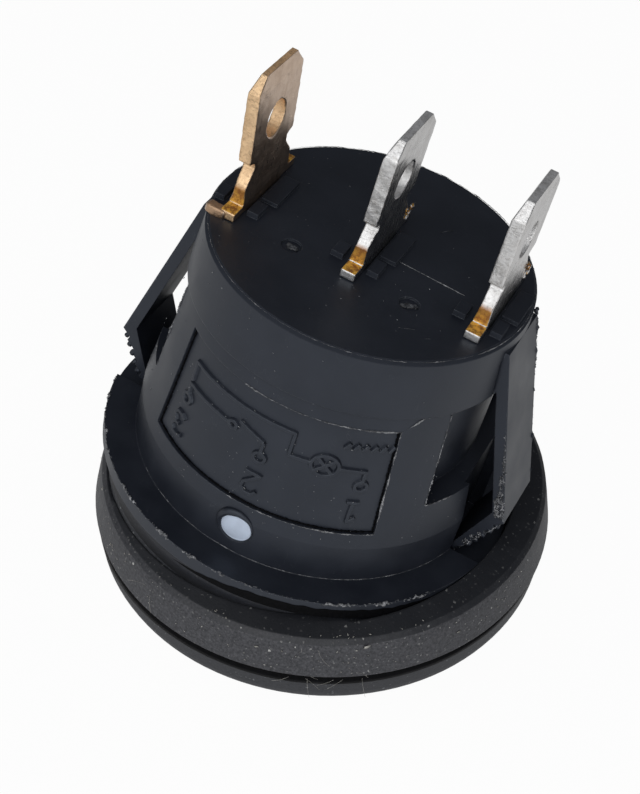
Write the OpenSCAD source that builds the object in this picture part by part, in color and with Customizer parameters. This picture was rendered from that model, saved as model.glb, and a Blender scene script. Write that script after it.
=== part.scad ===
// Round snap-in panel rocker switch for a 20 mm hole, with a lamp.
// The origin is on the barrel's axis at the rear face of the flange, where the panel sits.
// +Z runs from the panel toward the tabs, and X runs along the row of tabs.

/* [Barrel and flange] */
// Diameter of the barrel where it fills the panel hole
barrel_d = 19.8; // [19.6:0.1:19.9]
// How much narrower the rear rim is, from the barrel's draft
rear_draft = 2.6; // [2.4:0.1:2.7]
// Depth of the body behind the panel
body_depth = 14.1; // [14:0.1:14.4]
// How far the flange stands out past the barrel
flange_lip = 1.7; // [1.5:0.1:1.9]
// Thickness of the flange
flange_t = 1; // [0.8:0.1:1.2]
// Height of the raised collar around the rear
collar_h = 3.4; // [3.2:0.1:3.5]

/* [Front ring] */
// How far the rubber ring's front edge stands out past the flange
seal_over = 1.3; // [1.1:0.1:1.4]
// How much narrower the rubber ring is at its rear edge
seal_flare = 0.9; // [0.6:0.1:1.2]
// Height of the rubber ring
seal_h = 2.9; // [2.7:0.1:3]
// How far the smooth front ring stays inside the rubber ring
bezel_inset = 0.2; // [0.1:0.05:0.4]
// Height of the smooth front ring
bezel_h = 2.1; // [1.9:0.1:2.3]
// How far the rings tip up toward the lit end, in degrees
seal_tip = 8; // [6:0.5:9]
// How far the rings tip up toward the back, in degrees
seal_lean = 6.3; // [5:0.1:7]
// How far the rings have slid sideways
seal_slide = 0.95; // [0.6:0.05:1.1]

/* [Rocker] */
// Gap between the rocker and the mouth of the body
rocker_gap = 0.6; // [0.5:0.05:0.7]
// Swing of the rocker to each side of centre, in degrees
rocker_swing = 9; // [8:0.5:9]
// Height of the pivot pins behind the panel
pivot_z = 1.75; // [1.6:0.05:1.9]
// Diameter of the pivot pins
pivot_d = 1.9; // [1.7:0.1:2]

/* [Tabs] */
// Width of each push-on tab
tab_w = 4.75; // [4.6:0.05:4.8]
// Thickness of each tab
tab_t = 0.8; // [0.7:0.05:0.85]
// Length of each tab behind the body
tab_len = 7.5; // [7.2:0.1:7.8]
// Gap between the outer tabs and the wall inside the body
tab_wall_gap = 0.55; // [0.5:0.05:0.65]
// Diameter of the hole in each tab
tab_hole_d = 2; // [1.6:0.1:2.2]

/* [Latches] */
// Width of each snap latch
latch_w = 4; // [3.8:0.1:4.2]
// How far a latch's elbow stands out past the barrel
latch_over = 1.8; // [1.6:0.1:1.9]
// Ratchet teeth on each latch
latch_teeth = 5; // [4:1:6]

/* [Hidden] */

smooth = 96;
fit_gap = 0.05;      // running and seating clearance between round faces
seat_gap = 0.03;     // clearance between flat faces that seat on each other
joint_gap = 0.3;     // clearance around what moves
wide = 40;           // reach of a cutting block beyond the body

barrel_r = barrel_d / 2;
rear_r = barrel_r - rear_draft / 2;
flange_r = barrel_r + flange_lip;
barrel_len = 2.4;    // straight stretch that fills the panel hole
collar_z = body_depth - collar_h;
collar_step = 0.16;
collar_r = rear_r + collar_h * (barrel_r - rear_r) / body_depth;
rear_wall = 1.4;
cavity_top = body_depth - rear_wall;
mouth_r = barrel_r - 1.4;       // wider mouth of the cavity, around the rocker's skirt
mouth_z = 1;
cavity_r = mouth_r - 1.05;
cavity_rear_r = cavity_r + 0.3;
neck_in_r = mouth_r + 1;
neck_r = neck_in_r + 0.8;       // neck in front of the flange, which carries the front ring
neck_len = 1.6;
neck_end = -flange_t - neck_len;

label_angle = 41;
label_z = [3.35, collar_z - 0.9];
label_depth = 0.2;
pocket_w = [10.6, 9.2];   // width at the bottom and at the top
pocket_z = [4.8, collar_z - 0.2];
pocket_r = cavity_r + 0.85;
slit_w = 0.24;       // slits beside a latch's root
latch_gap_x = barrel_r - 0.9;   // floor of the slot that the latch bends into
latch_side_gap = 0.3;
latch_thick = 0.68;
latch_seat = cavity_r + 0.55;   // how deep in the wall a latch is rooted
latch_root = [rear_r + 0.06, body_depth - 0.8];
latch_reach = barrel_r + latch_over;
latch_elbow = [latch_reach, 3.1];
latch_foot = latch_elbow - [1.85, 3.45];
latch_heel = 0.45;   // width of the foot
tooth_depth = 0.22;

seal_lift = [seal_slide, 0.2, -0.83];   // where the slid rings ended up
seal_gap = 0.3;      // groove between the two rings
seal_bore_r = neck_r + 0.7;
seal_r = flange_r + seal_over;
bezel_r = seal_r - bezel_inset;
bezel_round = 0.9;
bezel_neck_r = neck_r + 0.65;
bezel_neck_z = neck_end - 1.9;
ring_hub = neck_in_r - 3.5;     // inner limit of the rings' sections, inside their bores

tab_pitch = cavity_rear_r - tab_wall_gap - tab_t / 2;
tab_x = [-tab_pitch, 0, tab_pitch];
tab_tip = body_depth + tab_len;
tab_lean = [-4.8, 0.9, -1.5];   // how far each blade has been bent, in degrees
tab_hole_drop = 3.05; // from the tip down to the hole
tab_hole_z = tab_tip - tab_hole_drop;
tab_end_w = tab_w - 1.5;       // width of the tip between its cut corners
tab_corner = 0.8;
tab_span = 6;        // reach of the cutting plates across a bent tab
ear_reach = tab_w / 2 + 1.025;
ear_h = 0.5;
stem_w = tab_w + 0.25;
stem_top = body_depth + 1.45;
waist_w = tab_w - 1.25;
waist_z = body_depth + 2.35;
shoulder_z = body_depth + 2.85;
bend_z = body_depth + 0.9;
slot_stem_w = tab_w - 0.95;
// Two corners and the height of each block beside a tab
guide_blocks = [
    [[-1.5, -2.1], [-0.85, -1.1], 0.3],
    [[0.6, -2.3], [1.2, -1.2], 0.3],
    [[0.6, -0.7], [1.5, 1.9], 0.2]
];
ejector_pos = [3.3, -2.9];
ejector_r = 0.55;
ejector_depth = 0.12;

common_x = tab_x[1];
lever_z = cavity_top - 2.85;   // axis of the edge that the contact lever rocks on
edge_r = tab_t / 4;  // round of that edge
edge_h = 0.5;        // height of the taper above it
lever_t = 0.5;
lever_w = slot_stem_w - 0.8;
lever_pad_w = 4;     // width of the lever's two ends
lever_tail = 5;      // reach of the end without a contact
lever_neck = 1.6;    // half the length of the narrow middle
lever_margin = 1.5;  // metal beyond the rivet
lever_swing = rocker_swing * 2 / 3;
contact_x = 4.6;
moving_r = 1.1;
fixed_r = 1.2;
contact_h = 0.5;
shank_r = 0.5;
rivet_head = 0.25;
fixed_face_z = lever_z + contact_x * sin(lever_swing) + contact_h * cos(lever_swing) + 0.12;
foot_t = 0.8;
foot_z = cavity_top - seat_gap - foot_t;
foot_w = 3;

rocker_r = mouth_r - rocker_gap;
rocker_top = -0.6;   // rear edge of the rocker's skirt
rocker_rise = 2.1;   // how far the rocker stands past the front ring
rocker_front = -seal_h - seal_gap - bezel_h - rocker_rise;
rocker_dish = 0.8;   // depth of the hollow between the ends
rocker_wall = 1.1;
cap_floor = rocker_front + 2.1;
carrier_r = rocker_r - rocker_wall - fit_gap;
carrier_z = [-1.9, -0.7];
ear_y = [5.1, 6.4];
ear_w = 3.4;
boss_r = 1.9;
boss_bore_r = 1.25;
boss_top = 5;
boss_floor = -0.3;
plunger_r = 1.2;
plunger_gap = 0.65;  // from the plunger's tip to the lever's axis
plunger_tip = lever_z - plunger_gap;
plunger_base = 2.9;
spring_r = 0.85;
spring_wire = 0.2;
spring_turns = 6;

lamp_r = 1.3;
lamp_len = carrier_r + 0.25;
lamp_pos = [-2.9, rocker_front + 3.9];
resistor_r = 0.8;
resistor_len = 4.6;
resistor_pos = [2.9, rocker_front + 3.9];
lead_r = 0.2;
lead_y = 2.8;
post_x = carrier_r - 1.85;
post_top = 0;
leaf_z = 1;
leaf_t = 0.3;
leaf_w = 1.6;
leaf_b_w = 1.3;
leaf_b_x = 6.25;
leaf_b_z = 1.9;
leaf_b_y = 0.8;
leaf_lap = 0.9;      // how far a leaf reaches over its post
leaf_run = 2.8;      // how far the first leaf reaches back along its tab

black = [0.08, 0.085, 0.1];
rubber_grey = [0.2, 0.2, 0.2];
tin = [0.78, 0.77, 0.76];
brass = [0.75, 0.6, 0.42];

// Carries its children with the rocker, which rests switched off.
module with_rocker() {
    translate([0, 0, pivot_z])
        rotate([0, -rocker_swing, 0])
            translate([0, 0, -pivot_z])
                children();
}

// Carries its children with the contact lever, which rests open.
module with_lever() {
    translate([common_x, 0, lever_z])
        rotate([0, lever_swing, 0])
            children();
}

// Carries its children with the crooked front rings.
module with_rings() {
    translate(seal_lift)
        rotate([seal_lean, -seal_tip, 0])
            children();
}

// A flat plate standing across X, cut to an outline in Y and Z.
module plate_across(x, t, outline) {
    translate([x - t / 2, 0, 0])
        rotate([90, 0, 90])
            linear_extrude(t)
                polygon(outline);
}

// A block between two corners.
module block(low, high) {
    translate(low)
        cube(high - low);
}

// A straight round bar between two points on one line along Y.
module bar_y(x, z, y0, y1, r) {
    translate([x, y0, z])
        rotate([-90, 0, 0])
            cylinder(r = r, h = y1 - y0, $fn = 48);
}

// ---- housing ----

module housing_lathe() {
    rotate_extrude($fn = smooth)
        polygon([
            [neck_in_r, neck_end], [neck_r, neck_end], [neck_r, -flange_t],
            [flange_r - 0.2, -flange_t], [flange_r, -flange_t + 0.2], [flange_r, 0],
            [barrel_r, 0], [barrel_r, barrel_len],
            [collar_r - collar_step, collar_z], [collar_r, collar_z],
            [rear_r, body_depth - 0.2], [rear_r - 0.2, body_depth], [0, body_depth],
            [0, cavity_top], [cavity_rear_r, cavity_top], [cavity_rear_r, cavity_top - 1.2],
            [cavity_r, cavity_top - 1.5], [cavity_r, mouth_z + 1], [mouth_r, mouth_z],
            [mouth_r, -flange_t + 0.2], [neck_in_r, -flange_t - 0.4]
        ]);
}

// Shallow panel on the near side, kept bare.
module label_recess() {
    reach = barrel_r + 2;
    slope = (barrel_r - collar_r) / (collar_z - barrel_len);
    difference() {
        translate([0, 0, label_z[0]])
            linear_extrude(label_z[1] - label_z[0])
                polygon([
                    [0, 0], [-reach * tan(label_angle), -reach], [reach * tan(label_angle), -reach]
                ]);
        translate([0, 0, barrel_len])
            cylinder(
                r1 = barrel_r - label_depth,
                r2 = collar_r - collar_step - label_depth,
                h = collar_z - barrel_len,
                $fn = smooth
            );
    }
}

// Pocket on one side, with the deeper slot that its latch bends into.
module latch_space() {
    slot = latch_w / 2 + latch_side_gap;
    difference() {
        rotate([90, 0, 90])
            linear_extrude(wide)
                polygon([
                    [-pocket_w[0] / 2, pocket_z[0]], [pocket_w[0] / 2, pocket_z[0]],
                    [pocket_w[1] / 2, pocket_z[1]], [-pocket_w[1] / 2, pocket_z[1]]
                ]);
        cylinder(r = pocket_r, h = body_depth, $fn = smooth);
    }
    block([latch_gap_x, -slot, latch_foot[1] - joint_gap], [latch_reach, slot, pocket_z[0] + 0.5]);
    for (side = [-1, 1])
        translate([0, (side * (latch_w + slit_w) - slit_w) / 2, 0])
            block([pocket_r, 0, collar_z - 0.5], [wide, slit_w, latch_root[1] - 0.4]);
}

// Points down the toothed outer side of a latch, from the elbow to its foot.
function tooth_points() =
    let (
        run = latch_foot - latch_elbow,
        inward = [run[1], -run[0]] / norm(run) * tooth_depth
    )
    [for (i = [0:latch_teeth - 1]) each [
        latch_elbow + run * i / latch_teeth,
        latch_elbow + run * (i + 0.75) / latch_teeth + inward
    ]];

// A point on the arm's inner side, at a height.
function arm_inside(z) = [
    latch_root[0] - latch_thick
        + (latch_root[1] - z) * (latch_elbow[0] - latch_root[0]) / (latch_root[1] - latch_elbow[1]),
    z
];

// One springy latch, moulded in one piece with the barrel.
module latch() {
    rotate([90, 0, 0])
        linear_extrude(latch_w, center = true)
            polygon(concat(
                [[latch_seat, latch_root[1]], latch_root],
                tooth_points(),
                [
                    latch_foot, latch_foot + [-latch_heel, 0.1],
                    arm_inside(latch_elbow[1] + 0.35), arm_inside(collar_z - 1.3),
                    [collar_r - collar_step, collar_z + 0.1], [latch_seat, collar_z + 0.1]
                ]
            ));
}

// Small blocks moulded on the rear face beside one tab.
module tab_guides(x) {
    for (guide = guide_blocks)
        block(
            [x + guide[0][0], guide[0][1], body_depth - 0.1],
            [x + guide[1][0], guide[1][1], body_depth + guide[2]]
        );
}

module housing() {
    slot_x = tab_t / 2 + seat_gap;
    slot_y = slot_stem_w / 2 + seat_gap;
    color(black)
        difference() {
            union() {
                difference() {
                    housing_lathe();
                    label_recess();
                    latch_space();
                    mirror([1, 0, 0])
                        latch_space();
                }
                latch();
                mirror([1, 0, 0])
                    latch();
                intersection() {
                    cylinder(r = rear_r - 0.2, h = wide, $fn = smooth);
                    union()
                        for (x = tab_x)
                            tab_guides(x);
                }
            }
            for (x = tab_x)
                block([x - slot_x, -slot_y, cavity_top - 1], [x + slot_x, slot_y, wide]);
            translate([0, 0, pivot_z])
                rotate([90, 0, 0])
                    cylinder(d = pivot_d + 2 * fit_gap, h = wide, center = true, $fn = smooth);
            for (side = [-1, 1])
                translate([side * ejector_pos[0], ejector_pos[1], body_depth - ejector_depth])
                    cylinder(r = ejector_r, h = 1, $fn = 48);
        }
}

// ---- crooked front rings ----

module sealing_ring() {
    rear_edge_r = seal_r - seal_flare / 2;
    color(rubber_grey)
        difference() {
            with_rings()
                rotate_extrude($fn = smooth)
                    polygon([
                        [ring_hub, 0], [rear_edge_r - 0.25, 0], [rear_edge_r, -0.25],
                        [seal_r, -seal_h + 0.15], [seal_r - 0.15, -seal_h],
                        [ring_hub, -seal_h]
                    ]);
            translate([0, 0, -wide / 2])
                cylinder(r = seal_bore_r, h = wide, $fn = smooth);
            translate([0, 0, -flange_t - seat_gap])
                cylinder(r = flange_r + fit_gap, h = wide, $fn = smooth);
        }
}

module front_bezel() {
    top = -seal_h - seal_gap;
    difference() {
        color(black)
            union() {
                with_rings()
                    rotate_extrude($fn = smooth)
                        polygon(concat(
                            [[ring_hub, top], [bezel_r - 0.35, top], [bezel_r, top - 0.35]],
                            [for (a = [0:15:90]) [
                                bezel_r - bezel_round * (1 - cos(a)),
                                top - bezel_h + bezel_round * (1 - sin(a))
                            ]],
                            [[ring_hub, top - bezel_h]]
                        ));
                with_rings()
                    translate([0, 0, top - 0.1])
                        cylinder(r = bezel_r - 0.5, h = 0.1 + seal_gap - seat_gap, $fn = smooth);
                translate([0, 0, bezel_neck_z])
                    cylinder(r = bezel_neck_r, h = -flange_t - seat_gap - bezel_neck_z, $fn = smooth);
            }
        translate([0, 0, -wide / 2])
            cylinder(r = neck_in_r, h = wide, $fn = smooth);
        translate([0, 0, neck_end - seat_gap])
            cylinder(r = neck_r + fit_gap, h = wide, $fn = smooth);
    }
}

// ---- rocker ----

module rocker_cap() {
    dish_r = (rocker_r * rocker_r + rocker_dish * rocker_dish) / (2 * rocker_dish);
    color([0.72, 0.06, 0.05])
        with_rocker()
            difference() {
                rotate_extrude($fn = smooth)
                    polygon([
                        [0, rocker_front], [rocker_r - 0.6, rocker_front],
                        [rocker_r - 0.2, rocker_front + 0.2], [rocker_r, rocker_front + 0.6],
                        [rocker_r, rocker_top], [0, rocker_top]
                    ]);
                translate([0, 0, rocker_front + rocker_dish - dish_r])
                    rotate([90, 0, 0])
                        cylinder(r = dish_r, h = wide, center = true, $fn = smooth);
                translate([0, 0, cap_floor])
                    cylinder(r = rocker_r - rocker_wall, h = wide, $fn = smooth);
            }
}

module rocker_carrier() {
    color([0.93, 0.94, 0.95])
        with_rocker()
            difference() {
                union() {
                    translate([0, 0, carrier_z[0]])
                        cylinder(r = carrier_r, h = carrier_z[1] - carrier_z[0], $fn = smooth);
                    translate([0, 0, carrier_z[0]])
                        cylinder(r = boss_r, h = boss_top - carrier_z[0], $fn = smooth);
                    for (side = [-1, 1])
                        scale([1, side, 1]) {
                            block(
                                [-ear_w / 2, ear_y[0], carrier_z[0]],
                                [ear_w / 2, ear_y[1], pivot_z]
                            );
                            translate([0, ear_y[0], pivot_z])
                                rotate([-90, 0, 0])
                                    cylinder(d = ear_w, h = ear_y[1] - ear_y[0], $fn = smooth);
                            translate([0, ear_y[0], pivot_z])
                                rotate([-90, 0, 0])
                                    cylinder(d = pivot_d, h = barrel_r - 0.06 - ear_y[0], $fn = smooth);
                        }
                }
                translate([0, 0, boss_floor])
                    cylinder(r = boss_bore_r, h = wide, $fn = smooth);
                for (side = [-1, 1])
                    translate([side * post_x, lead_y, carrier_z[0] - 1])
                        cylinder(r = lead_r + fit_gap, h = wide, $fn = 48);
            }
}

module plunger() {
    color(brass)
        with_rocker()
            rotate_extrude($fn = smooth)
                polygon(concat(
                    [[0, plunger_base], [plunger_r, plunger_base]],
                    [for (a = [0:15:90]) [
                        plunger_r * cos(a), plunger_tip - plunger_r + plunger_r * sin(a)
                    ]]
                ));
}

// A round wire wound as a helix, as one closed mesh.
module plunger_spring() {
    low = boss_floor + spring_wire + seat_gap;
    high = plunger_base - spring_wire - seat_gap;
    steps = spring_turns * 14;
    sides = 8;
    points = [for (i = [0:steps], j = [0:sides - 1])
        let (
            a = 360 * spring_turns * i / steps,
            b = 360 * j / sides,
            r = spring_r + spring_wire * cos(b),
            z = low + (high - low) * i / steps + spring_wire * sin(b)
        )
        [r * cos(a), r * sin(a), z]
    ];
    walls = [for (i = [0:steps - 1], j = [0:sides - 1])
        let (k = (j + 1) % sides, n = i * sides, m = n + sides)
        [n + j, n + k, m + k, m + j]
    ];
    ends = [
        [for (j = [sides - 1:-1:0]) j],
        [for (j = [0:sides - 1]) steps * sides + j]
    ];
    color(tin)
        with_rocker()
            polyhedron(points, concat(walls, ends), convexity = 10);
}

// ---- contacts ----

// A plate with a round groove across its top, which sits on the tab's edge.
module contact_lever() {
    waist = lever_w / 2 - 0.2;
    pad = lever_pad_w / 2;
    color(brass)
        with_lever()
            difference() {
                union() {
                    block([-lever_tail, -pad, -lever_t], [-lever_neck, pad, 0]);
                    block([-lever_neck, -waist, -lever_t], [lever_neck, waist, 0]);
                    block([lever_neck, -pad, -lever_t], [contact_x + lever_margin, pad, 0]);
                }
                rotate([90, 0, 0])
                    cylinder(r = edge_r + fit_gap, h = wide, center = true, $fn = smooth);
                translate([contact_x, 0, -lever_t - 1])
                    cylinder(r = shank_r + seat_gap, h = 3, $fn = smooth);
            }
}

module moving_contact() {
    color(tin)
        with_lever()
            translate([contact_x, 0, 0])
                rotate_extrude($fn = smooth)
                    polygon([
                        [0, -lever_t - rivet_head], [0.8, -lever_t - rivet_head],
                        [0.8, -lever_t - seat_gap], [shank_r, -lever_t - seat_gap],
                        [shank_r, seat_gap], [moving_r, seat_gap], [moving_r, 0.3],
                        [0.5, contact_h], [0, contact_h]
                    ]);
}

module fixed_contact() {
    color(tin)
        translate([common_x + contact_x, 0, 0])
            rotate_extrude($fn = smooth)
                polygon([
                    [0, fixed_face_z], [fixed_r - 0.2, fixed_face_z],
                    [fixed_r, fixed_face_z + 0.2], [fixed_r, foot_z - seat_gap],
                    [shank_r, foot_z - seat_gap], [shank_r, foot_z + foot_t], [0, foot_z + foot_t]
                ]);
}

// ---- tabs ----

// Outline of a tab behind the body, down one side in Y and Z.
function tab_side(side) = [
    [side * tab_end_w / 2, tab_tip], [side * tab_w / 2, tab_tip - tab_corner],
    [side * tab_w / 2, shoulder_z], [side * waist_w / 2, shoulder_z - 0.2],
    [side * waist_w / 2, waist_z], [side * stem_w / 2, stem_top],
    [side * stem_w / 2, body_depth + ear_h], [side * ear_reach, body_depth + ear_h],
    [side * ear_reach, body_depth + seat_gap], [side * slot_stem_w / 2, body_depth + seat_gap]
];

// Side view of a tab's strip in X and Z, bent a little above the body.
module tab_strip(x, lean) {
    shift = (tab_tip + 1 - bend_z) * tan(lean);
    half = tab_t / 2;
    rotate([90, 0, 0])
        linear_extrude(wide, center = true)
            polygon([
                [x - half, 0], [x + half, 0], [x + half, bend_z],
                [x + half + shift, tab_tip + 1], [x - half + shift, tab_tip + 1],
                [x - half, bend_z]
            ]);
}

// The tab and its stem, which goes on inside down to the given height.
module tab(i, end_z, end_w) {
    left = tab_side(-1);
    right = tab_side(1);
    difference() {
        intersection() {
            plate_across(tab_x[i], tab_span, concat(
                left,
                [[-slot_stem_w / 2, cavity_top - seat_gap], [-end_w / 2, cavity_top - seat_gap]],
                [[-end_w / 2, end_z], [end_w / 2, end_z]],
                [[end_w / 2, cavity_top - seat_gap], [slot_stem_w / 2, cavity_top - seat_gap]],
                [for (k = [len(right) - 1:-1:0]) right[k]]
            ));
            tab_strip(tab_x[i], tab_lean[i]);
        }
        translate([tab_x[i], 0, tab_hole_z])
            rotate([0, 90, 0])
                cylinder(d = tab_hole_d, h = tab_span, center = true, $fn = smooth);
    }
}

module lamp_terminal() {
    color(brass)
        tab(0, leaf_z + leaf_t, foot_w);
}

// The middle tab ends in a rounded edge between two prongs that hold the lever.
module common_terminal() {
    notch = lever_w / 2;
    half = tab_t / 2;
    color(tin)
        union() {
            difference() {
                tab(1, lever_z - 1.2, slot_stem_w);
                block([common_x - 1, -notch, 0], [common_x + 1, notch, lever_z + edge_h]);
            }
            translate([common_x, 0, lever_z])
                rotate([90, 0, 0]) {
                    linear_extrude(lever_w, center = true)
                        polygon([
                            [-edge_r, 0], [edge_r, 0], [half, edge_h], [half, edge_h + 0.2],
                            [-half, edge_h + 0.2], [-half, edge_h]
                        ]);
                    cylinder(r = edge_r, h = lever_w, center = true, $fn = smooth);
                }
        }
}

module load_terminal() {
    inner = common_x + contact_x - fixed_r - 0.2;
    color(tin)
        difference() {
            union() {
                tab(2, foot_z, foot_w);
                block([inner, -foot_w / 2, foot_z], [tab_x[2], foot_w / 2, foot_z + foot_t]);
            }
            translate([common_x + contact_x, 0, 0])
                cylinder(r = shank_r + seat_gap, h = wide, $fn = smooth);
        }
}

// ---- lamp ----

module lamp_bulb() {
    color([1, 0.75, 0.45])
        with_rocker()
            translate([lamp_pos[0], -lamp_len / 2, lamp_pos[1]])
                rotate([-90, 0, 0])
                    rotate_extrude($fn = smooth)
                        polygon([
                            [0, 0], [lamp_r - 0.4, 0], [lamp_r, 0.4],
                            [lamp_r, lamp_len - 1.2], [lamp_r - 0.5, lamp_len - 0.5],
                            [0.3, lamp_len], [0, lamp_len]
                        ]);
}

module lamp_resistor() {
    half = resistor_len / 2;
    color([0.2, 0.35, 0.5])
        with_rocker()
            bar_y(resistor_pos[0], resistor_pos[1], -half, half, resistor_r);
}

// Wire from the bulb across to the resistor, along the near side.
module lamp_link() {
    y = -lamp_len / 2 - 0.7;
    color(tin)
        with_rocker()
            union() {
                bar_y(lamp_pos[0], lamp_pos[1], y, -lamp_len / 2 - seat_gap, lead_r);
                translate([lamp_pos[0] - lead_r, y, lamp_pos[1]])
                    rotate([0, 90, 0])
                        cylinder(
                            r = lead_r, h = resistor_pos[0] - lamp_pos[0] + 2 * lead_r, $fn = 48
                        );
                bar_y(resistor_pos[0], resistor_pos[1], y, -resistor_len / 2 - seat_gap, lead_r);
            }
}

module lamp_lead_a() {
    lamp_post(-1, lamp_pos[0], lamp_len / 2);
}

module lamp_lead_b() {
    lamp_post(1, resistor_pos[0], resistor_len / 2);
}

// Wire from one end of the lamp circuit, up through the carrier as a post.
module lamp_post(side, from_x, from_y) {
    z = lamp_pos[1];
    y = from_y + 0.5;
    low_x = min(from_x, side * post_x);
    high_x = max(from_x, side * post_x);
    color(tin)
        with_rocker()
            union() {
                bar_y(from_x, z, from_y + seat_gap, y, lead_r);
                translate([low_x, y, z])
                    rotate([0, 90, 0])
                        cylinder(r = lead_r, h = high_x - low_x, $fn = 48);
                bar_y(side * post_x, z, min(y, lead_y), max(y, lead_y), lead_r);
                translate([side * post_x, lead_y, z])
                    cylinder(r = lead_r, h = post_top - z, $fn = 48);
            }
}

// Leaf from the lamp tab's inner end, over the post on that side.
module lamp_contact_a() {
    color(brass)
        block(
            [tab_x[0] - tab_t / 2, lead_y - leaf_run, leaf_z],
            [-post_x + leaf_lap, lead_y + leaf_w / 2, leaf_z + leaf_t - seat_gap]
        );
}

// Leaf hung from the load tab's foot, down to the post on the other side.
module lamp_contact_b() {
    near_y = lead_y - leaf_w / 2;
    far_y = near_y + leaf_b_w;
    top = foot_z - seat_gap;
    color(brass)
        union() {
            block([leaf_b_x, leaf_b_y, top - leaf_t], [leaf_b_x + leaf_t, far_y, top]);
            block([leaf_b_x, near_y, leaf_b_z], [leaf_b_x + leaf_t, far_y, top]);
            block([post_x - leaf_lap, near_y, leaf_b_z], [leaf_b_x + leaf_t, far_y, leaf_b_z + leaf_t]);
        }
}

housing();
sealing_ring();
front_bezel();
rocker_cap();
rocker_carrier();
plunger();
plunger_spring();
contact_lever();
moving_contact();
fixed_contact();
lamp_terminal();
common_terminal();
load_terminal();
lamp_bulb();
lamp_resistor();
lamp_link();
lamp_lead_a();
lamp_lead_b();
lamp_contact_a();
lamp_contact_b();
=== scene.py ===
import random
from math import atan2, copysign, cos, degrees, exp, hypot, pi, radians, sin, sqrt, tan

import bmesh
import bpy
from mathutils import Matrix, Vector, noise


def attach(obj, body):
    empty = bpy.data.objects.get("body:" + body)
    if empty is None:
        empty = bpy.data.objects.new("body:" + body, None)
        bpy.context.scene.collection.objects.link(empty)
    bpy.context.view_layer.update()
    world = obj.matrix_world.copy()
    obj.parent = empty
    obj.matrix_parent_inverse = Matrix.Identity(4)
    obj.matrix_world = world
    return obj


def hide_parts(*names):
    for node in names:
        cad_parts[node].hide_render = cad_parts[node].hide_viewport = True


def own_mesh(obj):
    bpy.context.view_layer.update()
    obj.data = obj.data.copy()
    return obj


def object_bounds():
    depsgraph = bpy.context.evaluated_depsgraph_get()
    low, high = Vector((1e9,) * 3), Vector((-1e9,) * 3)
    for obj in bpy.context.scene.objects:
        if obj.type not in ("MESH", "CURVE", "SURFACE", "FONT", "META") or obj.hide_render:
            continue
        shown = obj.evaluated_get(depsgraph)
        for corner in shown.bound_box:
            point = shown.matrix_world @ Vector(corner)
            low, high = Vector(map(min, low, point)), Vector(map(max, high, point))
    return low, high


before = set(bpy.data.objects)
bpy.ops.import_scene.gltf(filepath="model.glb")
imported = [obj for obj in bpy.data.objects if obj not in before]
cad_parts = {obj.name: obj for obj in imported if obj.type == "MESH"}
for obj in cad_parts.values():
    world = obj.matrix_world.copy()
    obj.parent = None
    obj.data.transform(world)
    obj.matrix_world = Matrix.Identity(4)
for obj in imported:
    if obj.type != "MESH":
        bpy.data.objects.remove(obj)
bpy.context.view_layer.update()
print("frame loaded")

mm = 0.001  # the sizes below are in millimetres, and a mesh is made in metres


def isSocket(value):
    return isinstance(value, bpy.types.NodeSocket)


# sets or links a node's inputs, by name or by number
def feed(node, inputs):
    for key, value in inputs.items():
        if isSocket(value):
            node.id_data.links.new(value, node.inputs[key])
        else:
            node.inputs[key].default_value = value
    return node


# a node goes in the tree it is given, or in the one that its first linked input is in
def addNode(kind, inputs=None, tree=None, **settings):
    inputs = inputs or {}
    tree = tree or next(value.id_data for value in inputs.values() if isSocket(value))
    node = tree.nodes.new("ShaderNode" + kind)
    for key, value in settings.items():
        setattr(node, key, value)
    return feed(node, inputs).outputs


def rgb(r, g, b):
    return (r, g, b, 1.0)


def noiseAt(vector, scale, detail=3.0, rough=0.5, distortion=0.0):
    return addNode("TexNoise", {"Vector": vector, "Scale": scale, "Detail": detail,
                                "Roughness": rough, "Distortion": distortion})["Fac"]


def remap(value, low, high, newLow=0.0, newHigh=1.0):
    return addNode("MapRange", {"Value": value, "From Min": low, "From Max": high,
                                "To Min": newLow, "To Max": newHigh}, clamp=True)[0]


def calc(operation, a, b=0.0):
    return addNode("Math", {0: a, 1: b}, operation=operation)[0]


def times(a, b):
    return calc("MULTIPLY", a, b)


def plus(a, b):
    return calc("ADD", a, b)


def mixColor(factor, a, b):
    return addNode("Mix", {0: factor, 6: a, 7: b}, data_type="RGBA")[2]


def splitXyz(vector):
    return addNode("SeparateXYZ", {0: vector})


def scaled(vector, factor):
    return addNode("VectorMath", {0: vector, "Scale": factor}, operation="SCALE")[0]


def stretch(vector, scale, turn=(0, 0, 0)):
    return addNode("Mapping", {"Vector": vector, "Scale": scale, "Rotation": turn})[0]


def surface(tree, kind="Normal"):
    return addNode("NewGeometry", tree=tree)[kind]


def bump(height, distance, strength, normal=None):
    inputs = {"Height": height, "Distance": distance, "Strength": strength}
    if normal is not None:
        inputs["Normal"] = normal
    return addNode("Bump", inputs)[0]


# a node group whose inputs are given with their usual values, and its outputs with their kinds
def startGroup(name, inputs, outputs):
    group = bpy.data.node_groups.new(name, "ShaderNodeTree")
    for label, value in inputs.items():
        kind = "NodeSocketFloat" if isinstance(value, float) else "NodeSocketVector"
        group.interface.new_socket(label, in_out="INPUT", socket_type=kind).default_value = value
    for label, kind in outputs.items():
        group.interface.new_socket(label, in_out="OUTPUT", socket_type="NodeSocket" + kind)
    given = group.nodes.new("NodeGroupInput").outputs
    return group, given, group.nodes.new("NodeGroupOutput")


def useGroup(group, inputs):
    return addNode("Group", inputs, node_tree=group)


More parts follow.
